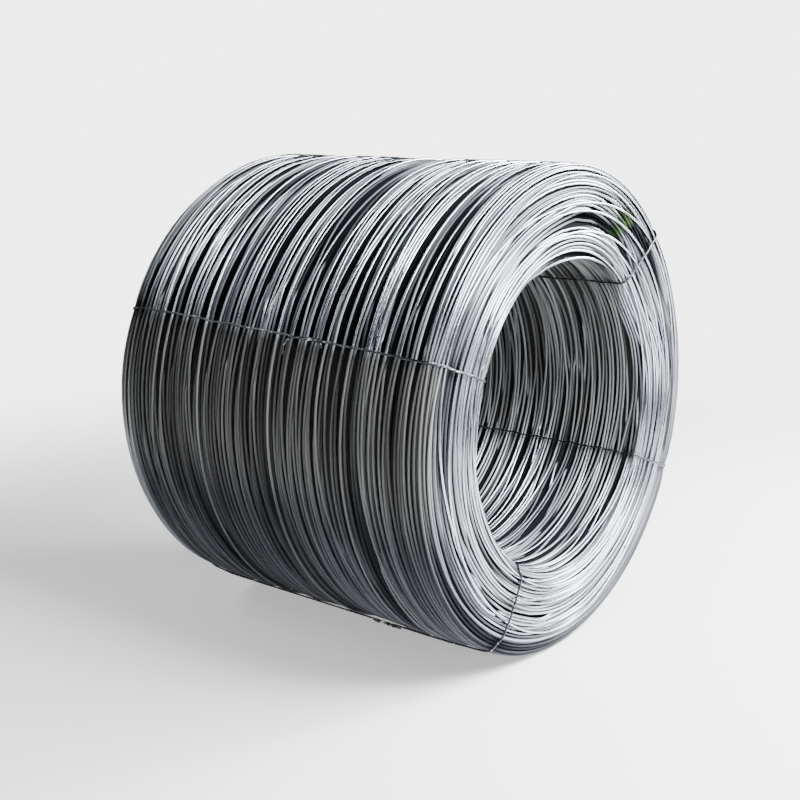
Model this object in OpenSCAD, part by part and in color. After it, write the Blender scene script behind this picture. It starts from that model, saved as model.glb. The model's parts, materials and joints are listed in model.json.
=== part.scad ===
// Coil of wire rod, lying on its side, held by four tie wires.
// The coil's axis runs along X, 0 is the middle of its length, and it rests on the floor at Z = 0.
// Clock angles start at the top and turn clockwise, as seen from the front end at +X.

/* [Coil] */
// Outside diameter over the outermost turns
coil_d = 1240; // [1150:5:1500]
// Diameter of the bore through the coil
bore_d = 780; // [500:5:850]
// Length over the crowns of both ends
coil_length = 1030; // [700:5:1800]

/* [Rod] */
// Diameter of the rod that the coil is wound from
rod_d = 6.5; // [5:0.5:12]
// Gap between neighbouring turns on the ends
turn_gap = 0.5; // [0.2:0.1:2]

/* [Ends] */
// Radius of the gentle crown across each end
crown_r = 600; // [400:10:1500]
// Distance of the crown's highest turn from the bore wall
crown_offset = 94; // [60:1:120]
// Radius of the outer edge at the front end
front_edge_r = 30; // [20:1:70]
// Radius of the outer edge at the back end
back_edge_r = 68; // [20:1:80]
// Radius of both edges of the bore
bore_edge_r = 9; // [5:0.5:12]

/* [Ties] */
// Diameter of the tie wires
tie_d = 5; // [3:0.5:6]
// Clock angles of the four tie wires where they leave the bore, in degrees
tie_clock = [39.5, 117, 211, 291.4];
// How much further round each tie wire lies on the outer wall, at its front edge, in degrees
tie_lean_front = [7, -2, -1, -0.6];
// The same at the back edge of the outer wall
tie_lean_back = [4, -1, 1, 2.6];
// Bend radius of a tie wire where it leaves the bore
tie_bend_r = 9; // [6:0.5:14]
// Clearance between a tie wire and the turns that it lies on
tie_seat = 0.3; // [0.2:0.1:0.5]
// Distance of the knots in front of the coil's middle
knot_x = 150; // [-300:5:300]
// Length of the twisted pair in each knot
knot_length = 46; // [30:1:80]
// Length of the cut end that stands out of each knot
knot_tail = 26; // [10:1:50]

/* [Hidden] */
$fn = 96;

steel = "silver";
tie_steel = "slategray";

coil_r = coil_d / 2;
bore_r = bore_d / 2;
rod_r = rod_d / 2;
tie_r = tie_d / 2;
turn_pitch = rod_d + turn_gap;

// The line through the middles of the end turns: a crown arc, with an edge arc tangent to it.
crest_r = bore_r + crown_offset;
crown_x = coil_length / 2 - rod_r - crown_r;

// Angles are measured from the coil's axis, and points are [radius, distance from the middle].
function on_arc(r, x, radius, a) = [r + radius * sin(a), x + radius * cos(a)];
function arc(r, x, radius, from, to, steps) =
    [for (i = [0:steps]) on_arc(r, x, radius, from + (to - from) * i / steps)];

// An edge arc of the given radius, tangent to the crown and to a wall at wall_r.
// side is 1 for the outer edge and -1 for the bore's edge.
function edge_middle_r(radius, wall_r, side) = wall_r - side * radius;
function edge_middle_x(radius, wall_r, side, crown) =
    crown_x + sqrt(pow(crown - radius, 2) - pow(edge_middle_r(radius, wall_r, side) - crest_r, 2));
function edge_angle(radius, wall_r, side, crown) =
    asin((edge_middle_r(radius, wall_r, side) - crest_r) / (crown - radius));

// Outer half of one turn, whose middle is at angle a on an arc
turn_step = 45;
function turn(r, x, radius, a, to = 90) =
    let (middle = on_arc(r, x, radius, a))
    [for (t = [-90:turn_step:to]) on_arc(middle[0], middle[1], rod_r, a + t)];
function turns(r, x, radius, from, to) =
    let (n = floor((to - from) * PI / 180 * radius / turn_pitch))
    [for (i = [0:n - 1]) each turn(r, x, radius, from + (to - from) * i / n)];

// Outline of one end from the bore wall to the outer wall. Its turns start past the bore's edge, clear of
// the bend of the tie wires.
channel_r = tie_r + tie_seat;
channel_middle = bore_r + tie_r + tie_seat;
first_turn_r = max(channel_middle + tie_bend_r, bore_r + bore_edge_r + rod_r);
function end_outline(edge) =
    let (
        edge_r = edge - rod_r,
        edge_wall = coil_r - rod_r,
        edge_a = edge_angle(edge_r, edge_wall, 1, crown_r),
        edge_x = edge_middle_x(edge_r, edge_wall, 1, crown_r),
        bore_a = edge_angle(bore_edge_r, bore_r, -1, crown_r),
        bore_x = edge_middle_x(bore_edge_r, bore_r, -1, crown_r),
        first_a = asin((first_turn_r - crest_r) / crown_r)
    ) concat(
        arc(bore_r + bore_edge_r, bore_x, bore_edge_r, -90, bore_a, 6),
        turns(crest_r, crown_x, crown_r, first_a, edge_a),
        turns(coil_r - edge, edge_x, edge_r, edge_a, 90),
        turn(coil_r - edge, edge_x, edge_r, 90, 0)
    );
function reversed(points) = [for (i = [len(points) - 1:-1:0]) points[i]];

module profile() {
    polygon(concat(
        end_outline(front_edge_r),
        [for (p = reversed(end_outline(back_edge_r))) [p[0], -p[1]]]
    ));
}

// Channel along the bore wall that a tie wire lies in, so that the bore stays clear
module bore_channel() {
    depth = channel_middle - bore_r;
    length = 2 * coil_length;
    translate([channel_middle, 0, 0]) cylinder(r = channel_r, h = length, center = true);
    translate([bore_r, 0, 0]) cube([2 * depth, 2 * channel_r, length], center = true);
}

module lying() {
    translate([0, 0, coil_r]) rotate([0, 90, 0]) children();
}

module clocked(clock) {
    rotate([0, 0, 180 - clock]) children();
}

module coil() {
    color(steel) lying() difference() {
        rotate_extrude() profile();
        for (clock = tie_clock) clocked(clock) bore_channel();
    }
}

// The tie wire's line: it clears the turns of both ends and the outer wall by tie_seat.
tie_crown_r = crown_r + rod_r + tie_seat + tie_r;
tie_wall_r = coil_r + tie_seat + tie_r;
tie_bore_x = edge_middle_x(tie_bend_r, channel_middle, -1, tie_crown_r);

// In the knot both ends of the wire wind round each other, and each cut end stands off past it.
knot_steps = 30;
knot_twist = 2.5 * 360;
strand_offset = 1.05 * tie_r;
tail_tilt = 35;

// Bends are swept in steps short enough to keep their chords within a third of the clearance.
function bend(r, x, radius, from, to) =
    let (steps = max(8, ceil((to - from) / 2 / acos(1 - tie_seat / 3 / radius))))
    arc(r, x, radius, from, to, steps);

function tie_end(edge) =
    let (
        bend_r = edge + tie_seat + tie_r,
        outer_a = edge_angle(bend_r, tie_wall_r, 1, tie_crown_r),
        outer_x = edge_middle_x(bend_r, tie_wall_r, 1, tie_crown_r),
        bore_a = edge_angle(tie_bend_r, channel_middle, -1, tie_crown_r)
    ) concat(
        bend(channel_middle + tie_bend_r, tie_bore_x, tie_bend_r, -90, bore_a),
        bend(crest_r, crown_x, tie_crown_r, bore_a, outer_a),
        bend(coil_r - edge, outer_x, bend_r, outer_a, 90)
    );

// One strand of the knot, from its back end to its front end, starting at the given angle
function strand(start) =
    [for (i = [0:knot_steps]) let (
        a = start + knot_twist * i / knot_steps,
        x = knot_x + knot_length * i / knot_steps
    ) [tie_wall_r + strand_offset * (1 + cos(a)), strand_offset * sin(a), x]];
function tail(from, way) = from + knot_tail * [sin(tail_tilt), 0, way * cos(tail_tilt)];

// Points along the outer wall, close enough together for a leaning wire to follow its curve
wall_steps = 12;
function wall_line(from, to) =
    [for (i = [1:wall_steps - 1]) [tie_wall_r, 0, from + (to - from) * i / wall_steps]];

// The whole wire, from the cut end in front of the knot, round the coil, to the cut end behind it
function tie_line() =
    let (
        first = strand(180),
        last = strand(0),
        front = [for (p = tie_end(front_edge_r)) [p[0], 0, p[1]]],
        back = [for (p = reversed(tie_end(back_edge_r))) [p[0], 0, -p[1]]]
    ) concat(
        [tail(first[knot_steps], 1)],
        reversed(first),
        wall_line(knot_x, back[0][2]),
        back,
        front,
        wall_line(front[len(front) - 1][2], knot_x + knot_length),
        reversed(last),
        [tail(last[0], -1)]
    );

// Turns each point about the coil's axis: not at all at the bore, and fully on the outer wall.
function leaning(points, lean_front, lean_back) =
    [for (p = points) let (
        out = (p[0] - channel_middle - tie_bend_r) / (tie_wall_r - channel_middle - tie_bend_r),
        lean = lean_back + (lean_front - lean_back) * (p[2] / coil_length + 0.5),
        a = -lean * min(max(out, 0), 1)
    ) [p[0] * cos(a) - p[1] * sin(a), p[0] * sin(a) + p[1] * cos(a), p[2]]];
function without_repeats(points) =
    [for (i = [0:len(points) - 1]) if (i == 0 || norm(points[i] - points[i - 1]) > 0.01) points[i]];

wire_sides = 10;
module wire(line) {
    last = len(line) - 1;
    rings = [for (i = [0:last]) let (
        along = line[min(i + 1, last)] - line[max(i - 1, 0)],
        out = cross(along, [0, 1, 0]) / norm(cross(along, [0, 1, 0])),
        side = cross(out, along) / norm(along)
    ) each [for (k = [0:wire_sides - 1]) let (a = 360 * k / wire_sides)
        line[i] + tie_r * (cos(a) * out + sin(a) * side)]];
    walls = [for (i = [0:last - 1], k = [0:wire_sides - 1]) let (
        next = (k + 1) % wire_sides,
        here = i * wire_sides,
        ahead = here + wire_sides
    ) each [[here + k, here + next, ahead + next], [here + k, ahead + next, ahead + k]]];
    polyhedron(rings, concat(
        [[for (k = [wire_sides - 1:-1:0]) k]],
        walls,
        [[for (k = [0:wire_sides - 1]) last * wire_sides + k]]
    ));
}

module tie(i) {
    line = leaning(without_repeats(tie_line()), tie_lean_front[i], tie_lean_back[i]);
    color(tie_steel) lying() clocked(tie_clock[i]) wire(line);
}

coil();
tie(0);  // tie_upper_right
tie(1);  // tie_lower_right
tie(2);  // tie_lower_left
tie(3);  // tie_upper_left
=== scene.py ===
# A coil of steel wire rod lying on its side, held by four tie wires.
# Metres, Z up. The coil's axis runs along X, and its front end faces +X.
import json
import math
import bpy
import numpy as np
from mathutils import Matrix, Vector


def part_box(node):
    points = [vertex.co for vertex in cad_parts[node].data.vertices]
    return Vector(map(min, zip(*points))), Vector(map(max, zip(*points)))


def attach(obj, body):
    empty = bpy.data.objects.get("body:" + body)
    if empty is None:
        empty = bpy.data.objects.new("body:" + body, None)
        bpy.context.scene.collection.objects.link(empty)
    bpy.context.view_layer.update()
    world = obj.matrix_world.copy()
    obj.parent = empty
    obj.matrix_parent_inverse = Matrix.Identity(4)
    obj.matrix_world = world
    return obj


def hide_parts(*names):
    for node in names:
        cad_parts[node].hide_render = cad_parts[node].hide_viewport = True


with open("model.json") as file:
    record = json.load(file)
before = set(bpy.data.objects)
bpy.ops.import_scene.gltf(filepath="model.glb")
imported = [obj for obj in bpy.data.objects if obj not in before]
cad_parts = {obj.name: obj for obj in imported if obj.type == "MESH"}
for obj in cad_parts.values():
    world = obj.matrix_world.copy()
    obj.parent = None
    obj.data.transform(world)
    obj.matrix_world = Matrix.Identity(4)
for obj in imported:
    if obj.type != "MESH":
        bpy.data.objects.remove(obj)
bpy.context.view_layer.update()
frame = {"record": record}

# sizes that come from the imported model
coilLow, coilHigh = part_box("coil")
outerRadius = (coilHigh.z - coilLow.z) / 2
axisHeight = (coilHigh.z + coilLow.z) / 2
halfLength = (coilHigh.x - coilLow.x) / 2
boreMount = next(mount for mount in frame["record"]["mounts"] if mount["name"] == "bore")
boreRadius = boreMount["dims"]["r_mm"] / 1000
print("frame: coil", round(2 * outerRadius, 3), "across,", round(2 * halfLength, 3), "long")


# camera, set first
cameraLook = {"azimuth": 38.56, "elevation": 12.82, "distance": 3.498, "lens": 57.58,
              "right": -0.0284, "up": -0.0338}
azimuth = math.radians(cameraLook["azimuth"])
elevation = math.radians(cameraLook["elevation"])
back = Vector((math.sin(azimuth) * math.cos(elevation),
               -math.cos(azimuth) * math.cos(elevation), math.sin(elevation)))
right = Vector((math.cos(azimuth), math.sin(azimuth), 0))
up = back.cross(right)
aim = Vector((0, 0, axisHeight)) + cameraLook["right"] * right + cameraLook["up"] * up
bpy.ops.object.camera_add(location=aim + cameraLook["distance"] * back)
camera = bpy.context.object
camera.name = "camera"
camera.rotation_mode = "QUATERNION"
camera.rotation_quaternion = (-back).to_track_quat("-Z", "Y")
camera.data.lens = cameraLook["lens"]
camera.data.sensor_width = 36
bpy.context.scene.camera = camera
print("camera set")


# the winding
rod = {"diameter": 0.0065, "sides": 6}
ends = {"crownRadius": 0.6, "crestFromBore": 0.094, "frontEdge": 0.03, "backEdge": 0.068, "boreEdge": 0.024}
tieNames = ["tie_upper_right", "tie_lower_right", "tie_lower_left", "tie_upper_left"]
# clock angles in degrees, clockwise from the top as seen from the front: where each tie leaves the bore,
# and how much further round it lies on the outer wall, at the front edge and at the back edge
ties = {"clocks": [39.5, 117, 211, 291.4], "leanFront": [7, -2, -1, -0.6], "leanBack": [4, -1, 1, 2.6],
        "diameter": 0.005, "bend": 0.009}
rodRadius = rod["diameter"] / 2
crestRadius = boreRadius + ends["crestFromBore"]
crownX = halfLength - rodRadius - ends["crownRadius"]


def bell(values, width, power=2):
    # 1 in the middle, falling to 0 on both sides
    return np.exp(-(values / width) ** power)


def rise(values, softness):
    # a soft step from 0 up to 1
    return 1 / (1 + np.exp(-values / softness))


def between(values, low, high, lowSoftness, highSoftness):
    # 1 from low to high, with a soft step at each
    return rise(values - low, lowSoftness) / (1 + np.exp((values - high) / highSoftness))


def arcPoints(middleX, middleR, radius, start, end, count):
    angles = np.linspace(start, end, count)
    return np.stack([middleX + radius * np.cos(angles), middleR + radius * np.sin(angles)], axis=1)


def edgeArc(edge, wall, side, crown):
    # middle of an edge arc that is tangent to the crown and the wall, and the angle where it meets the crown
    middleR = wall - side * edge
    middleX = crownX + math.sqrt((crown - edge) ** 2 - (middleR - crestRadius) ** 2)
    return middleX, middleR, math.asin((middleR - crestRadius) / (crown - edge))


def endLine(edge, depth):
    # from the bore wall over one end to the outer wall, for turns lying depth below the surface turns
    crown = ends["crownRadius"] - depth
    boreEdge = ends["boreEdge"] - rodRadius - depth
    outerEdge = edge - rodRadius - depth
    boreX, boreR, boreAngle = edgeArc(boreEdge, boreRadius + rodRadius + depth, -1, crown)
    wallX, wallR, wallAngle = edgeArc(outerEdge, outerRadius - rodRadius - depth, 1, crown)
    return np.concatenate([
        arcPoints(boreX, boreR, boreEdge, -math.pi / 2, boreAngle, 30),
        arcPoints(crownX, crestRadius, crown, boreAngle, wallAngle, 60)[1:],
        arcPoints(wallX, wallR, outerEdge, wallAngle, math.pi / 2, 30)[1:]])


class Section:
    # the closed line through the middles of the turns of one layer, from the middle of the back end,
    # through the bore, over the front end and back along the outer wall
    def __init__(self, depth):
        front = endLine(ends["frontEdge"], depth)
        behind = endLine(ends["backEdge"], depth)
        behind[:, 0] *= -1
        middle = len(behind) // 2
        line = np.concatenate([behind[middle::-1], front, behind[:middle - 1:-1]])
        steps = np.linalg.norm(np.diff(line, axis=0), axis=1)
        along = np.concatenate([[0], np.cumsum(steps)])
        self.length = along[-1]
        spots = np.linspace(0, self.length, 6000)
        self.spots = spots
        self.x = np.interp(spots, along, line[:, 0])
        self.r = np.interp(spots, along, line[:, 1])
        ways = np.stack([np.gradient(self.x, spots), np.gradient(self.r, spots)], axis=1)
        smoothing = np.ones(9) / 9
        for k in (0, 1):
            ways[:, k] = np.convolve(np.pad(ways[:, k], 4, mode="edge"), smoothing, mode="valid")
        ways /= np.linalg.norm(ways, axis=1)[:, None]
        self.outX = -ways[:, 1]
        self.outR = ways[:, 0]
        if self.outR[len(spots) * 3 // 4] < 0:
            self.outX *= -1
            self.outR *= -1
        self.boreStart = along[middle]
        self.frontStart = along[middle + 1]
        self.wallStart = along[middle + len(front)]
        self.backStart = along[middle + len(front) + 1]

    def place(self, where, deeper):
        x = np.interp(where, self.spots, self.x) - deeper * np.interp(where, self.spots, self.outX)
        r = np.interp(where, self.spots, self.r) - deeper * np.interp(where, self.spots, self.outR)
        return x, r


def tieClock(k, x, r):
    # clock angle of tie k at a place on the section, in degrees
    inner = boreRadius + ties["diameter"] / 2 + ties["bend"]
    outer = outerRadius + ties["diameter"] / 2
    lean = ties["leanBack"][k] + (ties["leanFront"][k] - ties["leanBack"][k]) * (x / (2 * halfLength) + 0.5)
    return ties["clocks"][k] + lean * np.clip((r - inner) / (outer - inner), 0, 1)


def stationClocks(perGap):
    # clock angles round the coil, closest together at the ties, running anticlockwise
    clocks = []
    middles = [float(tieClock(k, 0, 0.5 * (boreRadius + outerRadius))) for k in range(len(tieNames))]
    for first, last in zip(middles, middles[1:] + [middles[0] + 360]):
        t = np.arange(perGap) / perGap
        t = t - 0.5 * np.sin(2 * math.pi * t) / (2 * math.pi)
        clocks.append(first + (last - first) * t)
    return np.radians(np.concatenate(clocks))[::-1]


def waves(rng, look, places, clocks):
    # waves that run along the section and wander round the coil, as a shift of each place
    total = np.zeros(np.broadcast(places, clocks).shape)
    for k in range(look["waves"]):
        length = math.exp(rng.uniform(math.log(look["shortest"]), math.log(look["longest"])))
        wander = rng.integers(-look["wander"], look["wander"] + 1)
        start = rng.uniform(0, 2 * math.pi)
        total += look["bunching"] * length / (2 * math.pi) * np.sin(
            2 * math.pi * places / length + wander * clocks + start)
    return total


def ripple(rng, count, clocks, size, highest):
    # a slow wobble of each turn for itself
    total = np.zeros((count, len(clocks)))
    for k in range(1, highest + 1):
        start = rng.uniform(0, 2 * math.pi, (count, 1))
        total += size * rng.normal(size=(count, 1)) * np.sin(k * clocks + start) / math.sqrt(k)
    return total


def spacedOut(wanted, gap, length):
    # the nearest places to the wanted ones in which no two neighbours are closer than gap
    shifts = np.arange(len(wanted)) * gap
    blocks = []
    for level in wanted - shifts:
        blocks.append([level, 1])
        while len(blocks) > 1 and blocks[-2][0] > blocks[-1][0]:
            level, weight = blocks.pop()
            level = (blocks[-1][0] * blocks[-1][1] + level * weight) / (blocks[-1][1] + weight)
            blocks[-1] = [level, blocks[-1][1] + weight]
    levels = np.concatenate([np.full(weight, level) for level, weight in blocks])
    return np.clip(levels, 0, length - shifts[-1] - gap) + shifts


def clockGap(clocks, clock):
    # signed angle from a clock position, in degrees
    return (np.degrees(clocks) - clock + 180) % 360 - 180


relief = {"pinch": 0.0007, "cornerPinch": 0.0016, "cornerWidth": 0.035, "pinchSpreads": (9, 2.4),
          "frontCorner": 0.02, "backCorner": 0.04, "limits": (-0.002, 0.006),
          "swell": {"waves": 8, "shortest": 0.08, "longest": 0.3, "wander": 3, "bunching": 0.035}}


def heights(section, places, clocks):
    # how far the turns lie below the coil's full size: pinched at the ties, bulging between them
    rng = np.random.default_rng(31)
    x, r = section.place(places, 0)
    corners = (section.boreStart, section.frontStart,
               section.wallStart - relief["frontCorner"], section.backStart + relief["backCorner"])
    corner = sum(bell(places - spot, relief["cornerWidth"]) for spot in corners)
    strength = relief["pinch"] + relief["cornerPinch"] * corner
    wide, narrow = relief["pinchSpreads"]
    pinch = 0
    for k in range(len(tieNames)):
        away = clockGap(clocks, tieClock(k, x, r))
        pinch = pinch + strength * (bell(away, wide) + bell(away, narrow))
    return np.clip(pinch + waves(rng, relief["swell"], places, clocks), *relief["limits"])


winding = {
    "depth": 0.0034,              # of the average surface turn below the coil's full size
    "wallPitch": 0.0106, "endPitch": 0.0070, "borePitch": 0.0086,
    "pitchBlend": 0.006,          # over which one pitch goes over into the next
    "closest": 0.0047,            # neighbours this close lie one deeper than the other
    "bunches": {"waves": 9, "shortest": 0.028, "longest": 0.05, "wander": 4, "bunching": 0.58},
    "wobble": 0.0006, "unevenness": 0.0005,
    "sink": 0.0013, "lift": 0.001, "halfSunk": 0.003,   # turns beside a gap sink into it
}
# where the bunching is weaker
calm = {"front": 0.68, "frontRight": 0.3, "rightClock": 85, "rightSpread": 38, "bore": 0.1,
        "lowLeft": 0.7, "lowLeftClock": 215, "lowLeftReach": 68}
# places where turns of the front end lie apart, and reach is how soon the turns beyond close up again. An
# opening's line drops towards the bore by drop times the angle squared, before and after its clock angle,
# and by lean times the angle.
openings = [
    {"radius": 0.478, "clock": 8, "drop": (0.00004, 0), "spread": (14, 36), "width": 0.014, "reach": 0.05},
    {"radius": 0.4845, "clock": 1, "drop": (0, 0), "lean": 0.0011, "spread": (8, 8), "width": 0.007,
     "reach": 0.03},
    {"radius": 0.503, "clock": 9, "drop": (0.00004, 0), "spread": (13, 13), "width": 0.006, "reach": 0.03},
    {"radius": 0.545, "clock": 20, "drop": (0.00005, 0), "spread": (13, 13), "width": 0.005, "reach": 0.02},
    {"radius": 0.404, "clock": 0, "drop": (0, 0), "spread": (17, 17), "width": 0.006, "reach": 0.035},
    {"radius": 0.512, "clock": 194, "drop": (0.0004, 0.0004), "spread": (5, 5),
     "width": 0.006, "reach": 0.02},
    {"radius": 0.477, "clock": 180, "drop": (0.0003, 0.0003), "spread": (4, 4),
     "width": 0.005, "reach": 0.02},
    {"radius": 0.518, "clock": 168, "drop": (0.0003, 0.0003), "spread": (5, 5),
     "width": 0.005, "reach": 0.02},
    {"radius": 0.523, "clock": 224, "drop": (0.0001, 0.0001), "spread": (9, 9),
     "width": 0.007, "reach": 0.03},
]
# round this clock angle the turns on both sides of the radius are drawn towards the bore
dive = {"radius": 0.484, "clock": 52, "spread": 26, "depth": 0.064, "reach": (0.075, 0.095)}
# where the turns that dive pass under the others
seam = {"radius": 0.478, "beyond": 0.006, "width": 0.0075, "clock": 38, "spread": 24, "depth": 0.0035}
# loose turns lying across the others
crossing = {"counts": {"front": 7, "wall": 8, "bore": 4}, "margin": 0.02, "swing": (0.008, 0.02),
            "wobble": 0.002, "sunk": 0.0005, "tone": 0.72}
# one turn hangs out of the bore's front edge, with a dark slit above it
slack = {"clock": 2, "spread": 24, "sag": 0.0115, "along": 0.009,
         "slitClock": 5, "slitAlong": 0.006, "slitWidth": 0.017}


def startPlaces(section):
    # evenly wound turns, closer together over the ends
    spots = section.spots
    edges = (section.boreStart, section.frontStart, section.wallStart, section.backStart)
    pastBore, pastFront, pastWall, pastBack = [rise(spots - edge, winding["pitchBlend"]) for edge in edges]
    pitch = (winding["endPitch"]
             + (winding["borePitch"] - winding["endPitch"]) * (pastBore - pastFront)
             + (winding["wallPitch"] - winding["endPitch"]) * (pastWall - pastBack))
    count = np.concatenate([[0], np.cumsum(np.diff(spots) / pitch[1:])])
    return np.interp(np.arange(int(count[-1])) + 0.5, count, spots)


def frontPlace(section, radius):
    # the place on the front end that has this radius
    onFront = (section.spots > section.frontStart) & (section.spots < section.wallStart)
    return np.interp(radius, section.r[onFront], section.spots[onFront])


def openedBy(places, clocks, section, opening):
    # how far an opening moves the turns that lie beyond its line
    away = clockGap(clocks, opening["clock"])
    before = away < 0
    drop = np.where(before, *opening["drop"])
    spread = np.where(before, *opening["spread"])
    radius = opening["radius"] - drop * away ** 2 - opening.get("lean", 0) * away
    beyond = places - frontPlace(section, radius)
    fade = (0.5 + 0.5 * np.tanh(beyond / 0.0015)) * bell(np.maximum(beyond, 0), opening["reach"])
    return opening["width"] * fade * bell(away, spread)


def diving(places, clocks, section):
    # how far the turns near the dive's radius are drawn towards the bore
    beyond = places - frontPlace(section, dive["radius"])
    drawn = bell(beyond, np.where(beyond < 0, *dive["reach"]))
    return dive["depth"] * drawn * bell(clockGap(clocks, dive["clock"]), dive["spread"])


def alongSeam(starts, clocks, section):
    # 1 for the turns that lie at the seam, which sink there and get painted shadow
    line = frontPlace(section, seam["radius"]) + seam["beyond"]
    across = ((starts - line) / seam["width"]) ** 4
    along = (clockGap(clocks, seam["clock"]) / seam["spread"]) ** 6
    return np.exp(-across - along)


print("winding the coil")
section = Section(winding["depth"])
clocks = stationClocks(36)
starts = startPlaces(section)
rng = np.random.default_rng(7)
bunched = waves(rng, winding["bunches"], starts[:, None], clocks[None, :])
# how much each turn belongs to the front end, to the bore, and to the outer wall and back end
onEnd = between(starts, section.frontStart, section.wallStart, 0.01, 0.01)
inBore = between(starts, section.boreStart, section.frontStart, 0.01, 0.01)
onWall = 1 - onEnd - inBore
lowLeft = rise(calm["lowLeftReach"] - np.abs(clockGap(clocks, calm["lowLeftClock"])), 4)
rightSide = bell(clockGap(clocks, calm["rightClock"]), calm["rightSpread"])
bunched *= (1 - onEnd[:, None] * (calm["front"] - calm["frontRight"] * rightSide)
            - calm["bore"] * inBore[:, None] - calm["lowLeft"] * onWall[:, None] * lowLeft)
wanted = starts[:, None] + bunched
wanted += ripple(rng, len(starts), clocks, winding["wobble"], 7)
for opening in openings:
    wanted += openedBy(starts[:, None], clocks[None, :], section, opening)
wanted -= diving(starts[:, None], clocks[None, :], section)
gap = rod["diameter"]
closest = winding["closest"]
places = np.stack([spacedOut(wanted[:, j], closest, section.length) for j in range(len(clocks))], axis=1)
before = np.diff(places, axis=0, prepend=places[:1] - gap)
after = np.diff(places, axis=0, append=places[-1:] + gap)


def looseness(space):
    # 0 beside a turn that touches, towards 1 beside a wide gap
    free = np.maximum(space - gap, 0)
    return free / (free + winding["halfSunk"])


def clearOf(space):
    # the height that sets a turn clear of one at this distance, if the section is straight and level there
    return np.sqrt(np.clip(gap ** 2 - space ** 2, 0, None))


def pressedDown(depths, places, crossingPlaces, crossingDepths):
    # the depths of turns that give way under one that crosses them
    near = np.abs(places - crossingPlaces)
    return np.where(near < gap, np.maximum(depths, crossingDepths + clearOf(near)), depths)


sunk = winding["sink"] * (looseness(before) + looseness(after)) - winding["lift"]
# in a tight bunch every other turn lies deeper, though neighbours still press into each other in places, by
# up to 2.8 mm, because the section curves and the depths added below differ from turn to turn
sunk[1::2] += clearOf(np.minimum(before, after))[1::2]
seamMask = alongSeam(starts[:, None], clocks[None, :], section)
depths = heights(section, places, clocks[None, :]) + sunk + seam["depth"] * seamMask
depths += ripple(rng, len(starts), clocks, winding["unevenness"], 6)
print(len(starts), "surface turns")

# loose turns that cross the others
looseRows = []
ranges = {"front": (section.frontStart - 0.01, section.wallStart),
          "wall": (section.wallStart, section.backStart),
          "bore": (section.boreStart, section.frontStart)}
for region, count in crossing["counts"].items():
    low, high = ranges[region]
    for k in range(count):
        middle = rng.uniform(low + crossing["margin"], high - crossing["margin"])
        swing = rng.uniform(*crossing["swing"])
        timesRound = rng.integers(1, 4)
        row = middle + swing * np.sin(timesRound * clocks + rng.uniform(0, 2 * math.pi))
        row += ripple(rng, 1, clocks, crossing["wobble"], 5)[0]
        looseRows.append(np.clip(row, low, high))
loosePlaces = np.array(looseRows)
looseDepths = np.full_like(loosePlaces, crossing["sunk"] - winding["depth"])
for k in range(len(loosePlaces)):
    for other in range(k):
        looseDepths[k] = pressedDown(looseDepths[k], loosePlaces[k], loosePlaces[other], looseDepths[other])
for row, depth in zip(loosePlaces, looseDepths):
    depths = pressedDown(depths, places, row, depth)
depths = np.maximum(depths, -winding["depth"])
hanging = int(np.argmin(np.abs(places.mean(axis=1) - section.frontStart - slack["along"])))
depths[hanging] -= slack["sag"] * bell(clockGap(clocks, slack["clock"]), slack["spread"])

# the turns underneath
under = {"depth": 0.0115, "pitch": 0.0071, "sides": 4, "thicker": 1.1, "gapSink": 0.4, "tone": 0.12,
         "bunches": {"waves": 10, "shortest": 0.03, "longest": 0.12, "wander": 9, "bunching": 0.12}}
underSection = Section(under["depth"])
underClocks = stationClocks(24)
underCount = int(underSection.length / under["pitch"])
underStarts = (np.arange(underCount) + 0.5) * underSection.length / underCount
underRng = np.random.default_rng(19)
underWanted = underStarts[:, None] + waves(underRng, under["bunches"], underStarts[:, None],
                                           underClocks[None, :])
underPlaces = np.stack([spacedOut(underWanted[:, j], gap, underSection.length)
                        for j in range(len(underClocks))], axis=1)
underDepths = heights(underSection, underPlaces, underClocks[None, :])
for opening in openings:
    underDepths += under["gapSink"] * openedBy(underPlaces, underClocks[None, :], underSection, opening)
print(underCount, "turns underneath")


resting = {"below": 0.3, "settle": 0.003}   # the bottom of the coil settles on the floor


def middles(section, places, depths, clocks):
    # the middle of each turn at each station
    x, r = section.place(places, depths)
    y = r * np.sin(clocks)
    z = axisHeight + r * np.cos(clocks)
    z = z - resting["settle"] * np.clip(1 - z / resting["below"], 0, 1) ** 2
    return np.stack([x, y, np.maximum(z, rodRadius)], axis=2)


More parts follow.
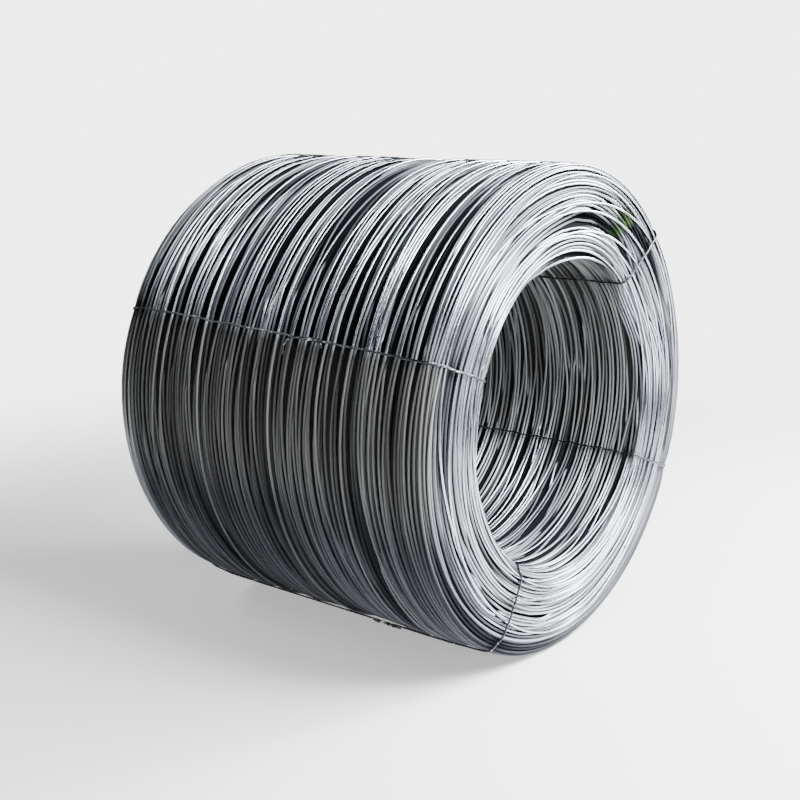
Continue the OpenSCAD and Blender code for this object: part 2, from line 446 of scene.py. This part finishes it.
def layTurns(name, centres, clocks, radius, sides, values):
    count, stations = centres.shape[:2]
    bpy.ops.object.select_all(action="DESELECT")
    bpy.ops.mesh.primitive_torus_add(major_segments=stations, minor_segments=sides,
                                     major_radius=outerRadius, minor_radius=radius)
    piece = bpy.context.object
    piece.name = name
    piece.data.name = name
    repeat = piece.modifiers.new("turns", "ARRAY")
    repeat.count = count
    repeat.use_relative_offset = False
    repeat.use_constant_offset = True
    repeat.constant_offset_displace = (0, 0, 2 * radius)
    repeat.offset_v = 1
    bpy.ops.object.modifier_apply(modifier="turns")
    along = np.roll(centres, -1, axis=1) - np.roll(centres, 1, axis=1)
    along /= np.linalg.norm(along, axis=2)[:, :, None]
    out = np.stack([np.zeros_like(clocks), np.sin(clocks), np.cos(clocks)], axis=1)
    side = np.cross(out[None], along)
    side /= np.linalg.norm(side, axis=2)[:, :, None]
    lift = np.cross(along, side)
    angles = np.arange(sides) * 2 * math.pi / sides
    points = (centres[:, :, None, :]
              + radius * (np.cos(angles)[None, None, :, None] * lift[:, :, None, :]
                          + np.sin(angles)[None, None, :, None] * side[:, :, None, :]))
    points = points.reshape(-1, 3)
    points[:, 2] = np.maximum(points[:, 2], 0)
    piece.data.vertices.foreach_set("co", points.ravel())
    for key, value in values.items():
        layer = piece.data.attributes.new(key, "FLOAT", "POINT")
        layer.data.foreach_set("value", np.repeat(value, sides, axis=1).ravel().astype(np.float32))
    piece.data.update()
    bpy.ops.object.shade_smooth()
    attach(piece, "root")
    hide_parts("coil")
    print(name, len(piece.data.polygons), "faces")
    return piece


def rowsWithin(places, cuts):
    # the turns that lie between each pair of cuts along the section
    middle = places.mean(axis=1)
    return np.concatenate([np.where((middle >= low) & (middle < high))[0] for low, high in cuts])


# dull steel with painted shade: on the outer wall below the tie, and in the top of the bore
dullShadeLook = {
    "wall": {"tie": 3, "belowTie": 0.7, "tieSoftness": 0.4, "right": 96, "rightSoftness": 6,
             "frontEdge": 0.056, "backEdge": 0.03},
    "bore": {"clock": 20, "reach": 97, "softness": 2.5, "strength": 0.88, "ragged": ((5, 370), (4, 790))},
    "rim": ((0.016, 8, 30), (-0.04, 64, 20)),   # shift of the front limit of the bore's painted shade, clock angle, spread
    "slitUndulled": 0.95,
    "darker": {"below": 0.62, "over": 0.22},   # heights on the outer wall between which the painted shade darkens towards the bottom
}
# painted shade, with a strength for each part
darkLook = {
    "mouth": {"strength": 0.8, "back": 0.012, "width": 0.03, "clock": 14, "spread": 30},
    "slit": 0.9,
    "upperRight": {"strength": 0.4, "radius": 0.49, "softness": 0.003, "clock": 42, "spread": 23},
    "lowerLeft": {"strength": 0.2, "clock": 238, "spread": 22},
    "edge": {"strength": 0.6, "back": 0.034, "width": 0.024, "clock": 256, "spread": 34, "turns": 430},
    "deepFrom": -0.0005, "deepOver": 0.006,
}
# brightness of the turns: how much it varies at random between and along them, and what is added on each
# part: painted light on the front end and in the bore, painted shade on the outer wall, and a painted
# highlight on the bottom of the front end
toneLook = {"average": 0.5, "turns": 0.27, "along": 0.12, "loose": 0.1,
            "end": 0.1, "bore": 0.15, "wall": -0.11, "bottom": {"strength": 0.2, "clock": 165, "spread": 35}}


def besideSlack(places, section, clocks):
    # the slit between the hanging turn and the turns above it, which gets painted shadow
    along = places - section.frontStart - slack["slitAlong"]
    away = clockGap(clocks, slack["slitClock"])
    return bell(away, slack["spread"], 4) * bell(along, slack["slitWidth"], 4)


def dullAndShaded(places, section, clocks):
    # how dull the steel is, and how much painted shade it has
    wall = dullShadeLook["wall"]
    bore = dullShadeLook["bore"]
    turned = np.degrees(clocks) % 360
    tieAt = tieClock(wall["tie"], *section.place(places, 0)) - wall["belowTie"]
    below = np.where(turned > 180, rise(tieAt - turned, wall["tieSoftness"]),
                     rise(turned - wall["right"], wall["rightSoftness"]))
    onWall = between(places, section.wallStart - wall["frontEdge"], section.backStart + wall["backEdge"],
                     0.004, 0.02)
    ragged = sum(size * np.sin(rate * places) for size, rate in bore["ragged"])
    above = rise(bore["reach"] + ragged - np.abs(clockGap(clocks, bore["clock"])), bore["softness"])
    rim = section.frontStart + sum(shift * bell(clockGap(clocks, clock), spread)
                                   for shift, clock, spread in dullShadeLook["rim"])
    inBore = between(places, section.boreStart, rim, 0.01, 0.002)
    # the slit beside the hanging turn loses its dull steel, so that its painted shadow shows black
    outsideSlit = 1 - dullShadeLook["slitUndulled"] * besideSlack(places, section, clocks)
    return (below * onWall + bore["strength"] * above * inBore) * outsideSlit


def lowness(centres):
    # 1 on the lower part of the outer wall, where the painted shade is darker
    t = np.clip((dullShadeLook["darker"]["below"] - centres[:, :, 2]) / dullShadeLook["darker"]["over"], 0, 1)
    outside = np.hypot(centres[:, :, 1], centres[:, :, 2] - axisHeight) > (boreRadius + outerRadius) / 2
    return t * t * (3 - 2 * t) * outside


def aroundClock(part, clocks, power=2):
    return part["strength"] * bell(clockGap(clocks, part["clock"]), part["spread"], power)


def darkness(places, section, clocks):
    # painted shade on the bore's mouth, the slit beside the hanging turn, two parts of the front end, and
    # its lower left edge
    mouth = darkLook["mouth"]
    inMouth = aroundClock(mouth, clocks) * bell(places - section.frontStart + mouth["back"], mouth["width"])
    inSlit = darkLook["slit"] * besideSlack(places, section, clocks)
    upper = darkLook["upperRight"]
    seamRadius = upper["radius"] - dive["depth"] * bell(clockGap(clocks, dive["clock"]), dive["spread"])
    beyondSeam = rise(section.place(places, 0)[1] - seamRadius, upper["softness"])
    onFront = between(places, section.frontStart + 0.02, section.wallStart, 0.006, 0.01)
    onParts = beyondSeam * aroundClock(upper, clocks, 4) + aroundClock(darkLook["lowerLeft"], clocks)
    edge = darkLook["edge"]
    alongEdge = bell(places - section.wallStart + edge["back"], edge["width"], 4)
    alternating = np.sin(edge["turns"] * places) ** 2   # every other turn or so gets more painted shade
    return inMouth + inSlit + onFront * onParts + aroundClock(edge, clocks, 4) * alongEdge * alternating


tones = toneLook["average"] + rng.normal(0, toneLook["turns"], (len(starts), 1))
tones = tones + ripple(rng, len(starts), clocks, toneLook["along"], 8)
# painted light and shade by part, and a painted highlight on the bottom of the front end
tones += (toneLook["end"] * onEnd + toneLook["bore"] * inBore + toneLook["wall"] * onWall)[:, None]
bottom = toneLook["bottom"]
tones += bottom["strength"] * onEnd[:, None] * bell(clockGap(clocks, bottom["clock"]), bottom["spread"])
tones = np.clip(tones, 0, 1)
looseTones = np.clip(crossing["tone"] + ripple(rng, len(loosePlaces), clocks, toneLook["loose"], 4), 0, 1)
# painted shade on turns that lie deep, on the parts listed in darkLook and on the turns at the seam
shades = np.clip((depths - darkLook["deepFrom"]) / darkLook["deepOver"], 0, 1)
shades = np.clip(shades + darkness(places, section, clocks[None, :]) + seamMask, 0, 1)
allPlaces = np.concatenate([places, loosePlaces])
allDepths = np.concatenate([depths, looseDepths])
allTones = np.concatenate([tones, looseTones])
allShades = np.concatenate([shades, np.zeros_like(loosePlaces)])
centres = middles(section, allPlaces, allDepths, clocks[None, :])
# where the steel is dull and carries painted shade
dullShadeAmounts = dullAndShaded(allPlaces, section, clocks[None, :])
# where it hangs, the hanging turn loses its dull steel and painted shade, and its tone is raised, a painted
# highlight
hung = bell(clockGap(clocks, slack["slitClock"]), slack["spread"])
dullShadeAmounts[hanging] *= 1 - hung
allShades[hanging] *= 1 - hung
allTones[hanging] += (1 - allTones[hanging]) * hung
wallMiddle = (section.wallStart + section.backStart) / 2
boreMiddle = (section.boreStart + section.frontStart) / 2
stretches = {
    "bore_turns_back": [(section.boreStart, boreMiddle)],
    "bore_turns_front": [(boreMiddle, section.frontStart)],
    "front_turns": [(section.frontStart, section.wallStart)],
    "outer_turns_front": [(section.wallStart, wallMiddle)],
    "outer_turns_back": [(wallMiddle, section.backStart)],
    "back_turns": [(-1, section.boreStart), (section.backStart, 99)],
}
turnPieces = []
for name, cuts in stretches.items():
    rows = rowsWithin(allPlaces, cuts)
    turnPieces.append(layTurns(name, centres[rows], clocks, rodRadius, rod["sides"],
                               {"tone": allTones[rows], "shade": allShades[rows], "dullAndShaded": dullShadeAmounts[rows],
                                "low": lowness(centres[rows])}))

underTones = np.clip(under["tone"] + ripple(underRng, underCount, underClocks, toneLook["loose"], 4), 0, 1)
underCentres = middles(underSection, underPlaces, underDepths, underClocks[None, :])
# the same dull steel and painted shade on the turns underneath
underDullShadeAmounts = dullAndShaded(underPlaces, underSection, underClocks[None, :])
underRadius = rodRadius * under["thicker"]
boreRows, wallRows = np.split(np.arange(underCount), [underCount // 2])
# the turns underneath are wholly in painted shade
for name, rows in (("lower_turns_bore", boreRows), ("lower_turns_wall", wallRows)):
    turnPieces.append(layTurns(name, underCentres[rows], underClocks, underRadius, under["sides"],
                               {"tone": underTones[rows], "shade": np.ones_like(underTones[rows]),
                                "dullAndShaded": underDullShadeAmounts[rows], "low": lowness(underCentres[rows])}))

# the near-black body of the coil under them, painted shade so that nothing shows through
coreLook = {"depth": 0.0175, "rings": 160, "dark": (0.003, 0.003, 0.003), "light": (0.007, 0.007, 0.008)}
coreSection = Section(coreLook["depth"])
coreClocks = stationClocks(24)
corePlaces = np.arange(coreLook["rings"])[:, None] * coreSection.length / coreLook["rings"] + 0 * coreClocks
coreCentres = middles(coreSection, corePlaces, 0 * corePlaces, coreClocks[None, :])
bpy.ops.object.select_all(action="DESELECT")
bpy.ops.mesh.primitive_torus_add(major_segments=len(coreClocks), minor_segments=coreLook["rings"],
                                 major_radius=outerRadius, minor_radius=0.1)
core = bpy.context.object
core.name = "coil_core"
core.data.vertices.foreach_set("co", coreCentres.transpose(1, 0, 2).ravel())
core.data.update()
bpy.ops.object.mode_set(mode="EDIT")
bpy.ops.mesh.select_all(action="SELECT")
bpy.ops.mesh.normals_make_consistent(inside=False)
bpy.ops.object.mode_set(mode="OBJECT")
bpy.ops.object.shade_smooth()
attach(core, "root")
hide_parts("coil")


# ties
tieLook = {"knotX": 0.15, "knotLength": 0.046, "twists": 1.5, "tail": 0.02, "longTail": 0.062,
           "tailTilt": (22, 22, -4, 22),   # of the cut ends off the wall, for each tie
           "sway": 0.0011, "swayWaves": (9, 16, 23, 37, 52), "spacing": 0.006, "knotMargin": 0.004,
           "highlightAt": 0.3, "highlightWidth": 0.006}
tieRadius = ties["diameter"] / 2


def hull(points):
    # convex outline, anticlockwise
    points = sorted(set(map(tuple, np.round(points, 7))))
    outline = []
    for line in (points, points[::-1]):
        kept = []
        for x, r in line:
            while len(kept) > 1 and ((kept[-1][0] - kept[-2][0]) * (r - kept[-2][1])
                                     - (kept[-1][1] - kept[-2][1]) * (x - kept[-2][0])) <= 0:
                kept.pop()
            kept.append((x, r))
        outline += kept[:-1]
    return np.array(outline)


def tieLine(k, rng):
    # the wire lies taut over the turns, from the knot back over the wall and round to the knot again
    radii = np.hypot(centres[:, :, 1], centres[:, :, 2] - axisHeight)
    tieClocks = tieClock(k, centres[:, :, 0].mean(axis=1), radii.mean(axis=1))
    degrees = np.degrees(clocks)
    turns = np.array([[np.interp(clock, degrees, row, period=360) for row in (x, r)]
                      for clock, x, r in zip(tieClocks, centres[:, :, 0], radii)])
    angles = np.arange(16) * math.pi / 8
    ring = (rodRadius + tieRadius) * np.stack([np.cos(angles), np.sin(angles)], axis=1)
    outline = hull((turns[:, None] + ring[None]).reshape(-1, 2))
    loop = np.concatenate([outline, outline[:1]])
    lengths = np.concatenate([[0], np.cumsum(np.linalg.norm(np.diff(loop, axis=0), axis=1))])
    count = int(lengths[-1] / tieLook["spacing"])
    spots = np.linspace(0, lengths[-1], count, endpoint=False)
    line = np.stack([np.interp(spots, lengths, loop[:, 0]), np.interp(spots, lengths, loop[:, 1])], axis=1)
    knot = tieLook["knotX"]
    halfKnot = tieLook["knotLength"] / 2
    outside = line[:, 1] > (boreRadius + outerRadius) / 2
    middle = int(np.argmin(np.where(outside, np.abs(line[:, 0] - knot - halfKnot), 9)))
    line = np.roll(line, -middle, axis=0)
    outside = np.roll(outside, -middle)
    sway = np.zeros(count)
    for wave in tieLook["swayWaves"]:
        swing = np.sin(2 * math.pi * wave * np.arange(count) / count + rng.uniform(0, 6.3))
        sway += tieLook["sway"] * rng.normal() * swing / math.sqrt(wave / tieLook["swayWaves"][0])
    keep = ~((np.abs(line[:, 0] - knot - halfKnot) < halfKnot + tieLook["knotMargin"]) & outside)
    base = float(line[~keep, 1].max())
    body = np.stack([line[keep, 0], line[keep, 1], sway[keep]], axis=1)
    if body[0, 0] > knot + 0.02:
        body = body[::-1]
    spin = np.linspace(0, tieLook["twists"] * 2 * math.pi, 31)
    alongX = np.linspace(knot, knot + tieLook["knotLength"], 31)
    offset = 1.05 * tieRadius
    strands = []
    for start in (math.pi, 0):
        a = start + spin
        strands.append(np.stack([alongX, base + offset * (1 + np.cos(a)), offset * np.sin(a)], axis=1))
    tilt = math.radians(tieLook["tailTilt"][k])
    tails = []
    t = np.linspace(0.1, 1, 9)[:, None]
    for way, end, length in ((1, strands[0][-1], tieLook["tail"]), (-1, strands[1][0], tieLook["longTail"])):
        lift = np.sin(t * math.pi * 0.8) * math.sin(tilt)
        bent = np.concatenate([way * np.sin(1.5 * t) / 1.5, lift, -0.75 * t ** 2], axis=1)
        tails.append(end + length * bent)
    path = np.concatenate([tails[0][::-1], strands[0][::-1], body, strands[1][::-1], tails[1]])
    clock = np.radians(tieClock(k, path[:, 0], path[:, 1]))
    y = path[:, 1] * np.sin(clock) + path[:, 2] * np.cos(clock)
    z = path[:, 1] * np.cos(clock) - path[:, 2] * np.sin(clock)
    return np.stack([path[:, 0], y, z + axisHeight], axis=1)


tiePieces = []
for k, name in enumerate(tieNames):
    points = tieLine(k, np.random.default_rng(k + 40))
    points[:, 2] = np.maximum(points[:, 2], tieRadius)
    bpy.ops.object.select_all(action="DESELECT")
    bpy.ops.curve.primitive_bezier_curve_add()
    wire = bpy.context.object
    wire.name = name + "_wire"
    wire.data.splines.clear()
    spline = wire.data.splines.new("POLY")
    spline.points.add(len(points) - 1)
    spline.points.foreach_set("co", np.concatenate([points, np.ones((len(points), 1))], axis=1).ravel())
    wire.location = (0, 0, 0)
    wire.data.dimensions = "3D"
    wire.data.bevel_depth = tieRadius
    wire.data.bevel_resolution = 2
    wire.data.use_fill_caps = True
    wire.data.twist_mode = "MINIMUM"
    bpy.ops.object.convert(target="MESH")
    wire = bpy.context.object
    spots = np.empty(3 * len(wire.data.vertices))
    wire.data.vertices.foreach_get("co", spots)
    spots = spots.reshape(-1, 3)
    # painted highlight on the wire, on the outer wall, where the knot was twisted
    twisted = tieLook["knotX"] + tieLook["highlightAt"] * tieLook["knotLength"]
    onOutside = np.hypot(spots[:, 1], spots[:, 2] - axisHeight) > 0.6
    knotHighlight = bell(spots[:, 0] - twisted, tieLook["highlightWidth"]) * onOutside
    wire.data.attributes.new("knotHighlight", "FLOAT", "POINT").data.foreach_set("value", knotHighlight.astype(np.float32))
    bpy.ops.object.shade_smooth()
    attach(wire, "root")
    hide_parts(name)
    tiePieces.append(wire)
    print(wire.name, len(wire.data.polygons), "faces")


# finishes
class Finish:
    # a small helper that adds nodes and joins them
    def __init__(self, name):
        self.material = bpy.data.materials.new(name)
        self.material.use_nodes = True
        self.tree = self.material.node_tree
        self.shader = self.tree.nodes["Principled BSDF"]

    def add(self, kind, inputs=None, **settings):
        node = self.tree.nodes.new(kind)
        for key, value in settings.items():
            setattr(node, key, value)
        for key, value in (inputs or {}).items():
            if isinstance(value, bpy.types.NodeSocket):
                self.tree.links.new(value, node.inputs[key])
            else:
                node.inputs[key].default_value = value
        return node

    def attribute(self, name):
        return self.add("ShaderNodeAttribute", attribute_name=name).outputs["Fac"]

    def math(self, operation, a, b=0.0, clamp=False):
        return self.add("ShaderNodeMath", {0: a, 1: b}, operation=operation, use_clamp=clamp).outputs[0]

    def mix(self, factor, a, b):
        return self.add("ShaderNodeMix", {0: factor, 6: a, 7: b}, data_type="RGBA").outputs[2]

    def scaled(self, value, middle, by):
        # a swing of the value about 0
        return self.math("MULTIPLY", self.math("SUBTRACT", value, middle), by)

    def less(self, value, by):
        # 1 less a share of the value
        return self.math("SUBTRACT", 1.0, self.math("MULTIPLY", value, by))

    def ramp(self, value, stops):
        node = self.add("ShaderNodeValToRGB", {"Fac": value})
        while len(node.color_ramp.elements) < len(stops):
            node.color_ramp.elements.new(0.5)
        for element, (position, color) in zip(node.color_ramp.elements, stops):
            element.position = position
            element.color = (*color, 1)
        return node.outputs["Color"]

    def noise(self, vector, scale, detail=3.0, roughness=0.5):
        node = self.add("ShaderNodeTexNoise", {"Vector": vector, "Scale": scale, "Detail": detail,
                                               "Roughness": roughness})
        return node.outputs["Fac"]

    def set(self, name, value):
        if isinstance(value, bpy.types.NodeSocket):
            self.tree.links.new(value, self.shader.inputs[name])
        else:
            self.shader.inputs[name].default_value = value


rodLook = {
    "dark": (0.08, 0.088, 0.105), "bright": (0.74, 0.79, 0.87),
    # the deep colour and both dull colour ranges below are painted shade, the last darkest, for the low
    # outer wall
    "deep": (0.009, 0.010, 0.012), "dullShade": [(0.070, 0.072, 0.066), (0.125, 0.128, 0.118)],
    "lowShade": [(0.019, 0.019, 0.023), (0.027, 0.027, 0.032)],
    "toneShare": 0.9, "streakShare": 0.5, "cloudShare": 0.35,
    "streaks": (9, 2.3, 1), "roughness": (0.16, 0.28), "gloss": 0.4,
    "dullShadeShare": 0.72, "dullShadeStreaks": 0.35, "dullRoughness": 0.25, "deepRoughness": 0.45, "paintRoughness": 0.35,
    "shadeOnDull": 0.6, "lessMetal": {"dullShade": 0.8, "low": 0.17, "paint": 0.95, "shade": 0.9},
    "lessGloss": {"dullShade": 0.2, "low": 0.9},
    "bump": {"scale": 3.0, "strength": 0.03, "distance": 0.0004},
    "paint": {"clock": 26.5, "radius": 0.514, "spread": 4.6, "reach": 0.048, "slant": 0.7, "ragged": 1.1,
              "raggedScale": 90.0, "limits": (1.05, 0.75), "thin": (1.15, 0.75), "lightScale": 150.0,
              "lightFrom": 0.3, "lightTo": 1.1, "depth": 0.05, "inShade": 0.8,
              "dark": (0.010, 0.026, 0.005), "light": (0.13, 0.20, 0.09)},
}


def paintMark(f, local, shade, tone, mark):
    # a smear of green marking paint across the tops of a few turns of the front end
    parts = f.add("ShaderNodeSeparateXYZ", {0: local}).outputs
    height = f.math("SUBTRACT", parts["Z"], axisHeight)
    clock = f.math("DEGREES", f.math("ARCTAN2", parts["Y"], height))
    radius = f.math("SQRT", f.math("ADD", f.math("POWER", parts["Y"], 2.0), f.math("POWER", height, 2.0)))
    outward = f.math("DIVIDE", f.math("SUBTRACT", radius, mark["radius"]), mark["reach"])
    sideways = f.math("DIVIDE", f.math("SUBTRACT", clock, mark["clock"]), mark["spread"])
    sideways = f.math("SUBTRACT", sideways, f.math("MULTIPLY", outward, mark["slant"]))
    away = f.math("SQRT", f.math("ADD", f.math("POWER", outward, 2.0), f.math("POWER", sideways, 2.0)))
    ragged = f.math("ADD", away, f.scaled(f.noise(local, mark["raggedScale"], 2.0), 0.5, mark["ragged"]))
    spot = f.add("ShaderNodeMapRange", {"Value": ragged, "From Min": mark["limits"][0],
                                        "From Max": mark["limits"][1]}).outputs[0]
    front = f.math("GREATER_THAN", parts["X"], halfLength - mark["depth"])
    # less of it on bright turns
    thin = f.math("SUBTRACT", mark["thin"][0], f.math("MULTIPLY", tone, mark["thin"][1]), clamp=True)
    mask = f.math("MULTIPLY", f.math("MULTIPLY", spot, front, clamp=True), thin)
    mottled = f.math("ADD", sideways, f.noise(local, mark["lightScale"], 1.0))
    lighter = f.add("ShaderNodeMapRange", {"Value": mottled, "From Min": mark["lightFrom"],
                                           "From Max": mark["lightTo"]}).outputs[0]
    color = f.mix(lighter, (*mark["dark"], 1), (*mark["light"], 1))
    return mask, f.mix(f.math("MULTIPLY", shade, mark["inShade"]), color, (*mark["dark"], 1))


def rodFinish(name, look):
    f = Finish(name)
    uv = f.add("ShaderNodeUVMap", uv_map="UVMap").outputs[0]
    local = f.add("ShaderNodeTexCoord").outputs["Object"]
    stretched = f.add("ShaderNodeMapping", {"Vector": uv, "Scale": look["streaks"]}).outputs[0]
    streak = f.noise(stretched, 1.0, 2.0)
    cloud = f.noise(local, 5.0, 1.0)
    tone = f.attribute("tone")
    shade = f.attribute("shade")
    dullShaded = f.attribute("dullAndShaded")
    low = f.attribute("low")
    deep = (*look["deep"], 1)

    # bare steel, with painted shade where it lies deep and wherever the shade attribute marks it
    mixed = f.math("MULTIPLY", tone, look["toneShare"])
    mixed = f.math("ADD", mixed, f.scaled(streak, 0.5, look["streakShare"]))
    mixed = f.math("ADD", mixed, f.scaled(cloud, 0.5, look["cloudShare"]), clamp=True)
    color = f.mix(shade, f.ramp(mixed, [(0.0, look["dark"]), (1.0, look["bright"])]), deep)

    # painted shade on dull steel, darkest low on the outer wall
    dullShadeStrength = f.math("ADD", look["dullShadeShare"], f.math("MULTIPLY", streak, look["dullShadeStreaks"]))
    dullShadeMix = f.math("MULTIPLY", dullShaded, dullShadeStrength, clamp=True)
    dullShade, lowShade = [f.ramp(mixed, [(0.15, darkest), (0.95, lightest)])
                     for darkest, lightest in (look["dullShade"], look["lowShade"])]
    dullShade = f.mix(f.math("MULTIPLY", shade, look["shadeOnDull"]), f.mix(low, dullShade, lowShade), deep)
    color = f.mix(dullShadeMix, color, dullShade)
    painted, paintColor = paintMark(f, local, shade, tone, look["paint"])
    f.set("Base Color", f.mix(painted, color, paintColor))

    smooth, rougher = look["roughness"]
    rough = f.math("ADD", smooth, f.math("MULTIPLY", f.noise(stretched, 2.3, 2.0), rougher - smooth))
    rough = f.math("ADD", rough, f.math("MULTIPLY", dullShaded, look["dullRoughness"]))
    rough = f.math("ADD", rough, f.math("MULTIPLY", shade, look["deepRoughness"]), clamp=True)
    f.set("Roughness", f.math("ADD", rough, f.math("MULTIPLY", painted, look["paintRoughness"])))
    loss = look["lessMetal"]
    metal = f.math("SUBTRACT", f.less(dullShaded, loss["dullShade"]), f.math("MULTIPLY", low, loss["low"]), clamp=True)
    metal = f.math("MULTIPLY", metal, f.less(painted, loss["paint"]))
    f.set("Metallic", f.math("MULTIPLY", metal, f.less(shade, loss["shade"])))
    loss = look["lessGloss"]
    gloss = f.math("SUBTRACT", look["gloss"], f.math("MULTIPLY", dullShaded, loss["dullShade"]))
    gloss = f.math("MULTIPLY", gloss, f.less(low, loss["low"]))
    f.set("Specular IOR Level", f.math("MULTIPLY", f.math("SUBTRACT", 1.0, shade), gloss))
    bump = look["bump"]
    height = f.noise(stretched, bump["scale"], 2.0)
    f.set("Normal", f.add("ShaderNodeBump", {"Height": height, "Strength": bump["strength"],
                                             "Distance": bump["distance"]}).outputs[0])
    return f.material


rodSteel = rodFinish("rolled rod steel", rodLook)
for piece in turnPieces:
    piece.data.materials.clear()
    piece.data.materials.append(rodSteel)

# the core's finish is painted shade
coreFinish = Finish("painted shade inside")
coreCloud = coreFinish.noise(coreFinish.add("ShaderNodeTexCoord").outputs["Object"], 30.0)
coreFinish.set("Base Color", coreFinish.ramp(coreCloud, [(0.3, coreLook["dark"]), (0.7, coreLook["light"])]))
coreFinish.set("Specular IOR Level", 0.0)
coreFinish.set("Roughness", 0.8)
core.data.materials.clear()
core.data.materials.append(coreFinish.material)

tieSteel = {"speckle": 160.0, "dark": (0.03, 0.032, 0.035), "middle": (0.09, 0.094, 0.1),
            "light": (0.5, 0.52, 0.54), "knotHighlight": (0.8, 0.82, 0.85, 1), "roughness": 0.3}
tieFinish = Finish("dull tie wire")
speckles = tieFinish.noise(tieFinish.add("ShaderNodeTexCoord").outputs["Object"], tieSteel["speckle"])
tieColor = tieFinish.ramp(speckles, [(0.35, tieSteel["dark"]), (0.6, tieSteel["middle"]),
                                     (0.72, tieSteel["light"])])
tieFinish.set("Base Color", tieFinish.mix(tieFinish.attribute("knotHighlight"), tieColor, tieSteel["knotHighlight"]))
tieFinish.set("Metallic", 1.0)
tieFinish.set("Roughness", tieSteel["roughness"])
for wire in tiePieces:
    wire.data.materials.clear()
    wire.data.materials.append(tieFinish.material)
print("finishes on")


# floor and light
floorLook = {"radius": 4.2, "color": (0.86, 0.86, 0.86), "lift": 0.55, "fadeFrom": 0.35, "fadeTo": 0.85}
bpy.ops.object.select_all(action="DESELECT")
bpy.ops.mesh.primitive_circle_add(vertices=96, radius=floorLook["radius"], fill_type="NGON",
                                  location=(0, 0, 0))
floor = bpy.context.object
floor.name = "floor"
paper = Finish("pale floor")
paperPlace = paper.add("ShaderNodeTexCoord").outputs["Object"]
fromMiddle = paper.add("ShaderNodeVectorMath", {0: paperPlace}, operation="LENGTH").outputs["Value"]
fromMiddle = paper.math("DIVIDE", fromMiddle, floorLook["radius"])
fade = paper.add("ShaderNodeMapRange", {"Value": fromMiddle, "From Min": floorLook["fadeFrom"],
                                        "From Max": floorLook["fadeTo"]},
                 interpolation_type="SMOOTHSTEP").outputs[0]
paper.set("Base Color", (*floorLook["color"], 1))
paper.set("Roughness", 0.9)
paper.set("Emission Color", (1, 1, 1, 1))
paper.set("Emission Strength", floorLook["lift"])
clear = paper.add("ShaderNodeBsdfTransparent").outputs[0]
fading = paper.add("ShaderNodeMixShader", {0: fade, 1: paper.shader.outputs[0], 2: clear}).outputs[0]
paper.tree.links.new(fading, paper.tree.nodes["Material Output"].inputs["Surface"])
floor.data.materials.append(paper.material)

# way is the direction to the lamp from the coil, and long the direction of its longer side
lightLook = {
    "key": {"way": (0.70, 0.20, 0.69), "long": (-0.35, 0.96, -0.1), "distance": 3.4, "size": (1.0, 3.0),
            "power": 410},
    "rim": {"way": (0.5, 0.78, 0.36), "long": (-0.8, 0.5, 0), "distance": 3.6, "size": (1.2, 1.6),
            "power": 360},
    "fill": {"way": (-0.62, -0.5, 0.6), "long": (0, 1, 0), "distance": 3.8, "size": (0.7, 2.0), "power": 45},
    "side": {"way": (0.81, -0.07, 0.58), "long": (0, 1, 0), "distance": 3.8, "size": (1.3, 1.5),
             "power": 205},
    "low": {"way": (0.93, -0.33, 0.14), "long": (0, 1, 0), "distance": 3.8, "size": (0.8, 1.8), "power": 30},
}
for name, look in lightLook.items():
    way = Vector(look["way"]).normalized()
    wide = Vector(look["long"]).cross(way).normalized()
    bpy.ops.object.light_add(type="AREA", location=Vector((0, 0, axisHeight)) + look["distance"] * way)
    lamp = bpy.context.object
    lamp.name = name + "_light"
    lamp.data.shape = "RECTANGLE"
    lamp.data.size = look["size"][0]
    lamp.data.size_y = look["size"][1]
    lamp.data.energy = look["power"]
    lamp.rotation_mode = "QUATERNION"
    lamp.rotation_quaternion = Matrix((wide, way.cross(wide), way)).transposed().to_quaternion()

world = bpy.context.scene.world or bpy.data.worlds.new("world")
bpy.context.scene.world = world
world.use_nodes = True
tree = world.node_tree
tree.nodes.clear()
worldLook = {"horizon": (0.26, 0.265, 0.275), "low": (0.045, 0.048, 0.055), "sky": (0.10, 0.11, 0.135),
             "seen": (1.0, 1.0, 1.0), "seenStrength": 4.5}
coords = tree.nodes.new("ShaderNodeTexCoord")
split = tree.nodes.new("ShaderNodeSeparateXYZ")
skyRamp = tree.nodes.new("ShaderNodeValToRGB")
skyRamp.color_ramp.elements[0].position = 0.02
skyRamp.color_ramp.elements[0].color = (*worldLook["horizon"], 1)
skyRamp.color_ramp.elements.new(0.26).color = (*worldLook["low"], 1)
skyRamp.color_ramp.elements[2].position = 0.75
skyRamp.color_ramp.elements[2].color = (*worldLook["sky"], 1)
sky = tree.nodes.new("ShaderNodeBackground")
backdrop = tree.nodes.new("ShaderNodeBackground")   # what the camera sees behind the coil
backdrop.inputs["Color"].default_value = (*worldLook["seen"], 1)
backdrop.inputs["Strength"].default_value = worldLook["seenStrength"]
rays = tree.nodes.new("ShaderNodeLightPath")
either = tree.nodes.new("ShaderNodeMixShader")
output = tree.nodes.new("ShaderNodeOutputWorld")
tree.links.new(coords.outputs["Generated"], split.inputs[0])
tree.links.new(split.outputs["Z"], skyRamp.inputs["Fac"])
tree.links.new(skyRamp.outputs["Color"], sky.inputs["Color"])
tree.links.new(rays.outputs["Is Camera Ray"], either.inputs[0])
tree.links.new(sky.outputs[0], either.inputs[1])
tree.links.new(backdrop.outputs[0], either.inputs[2])
tree.links.new(either.outputs[0], output.inputs[0])
print("floor and light ready")
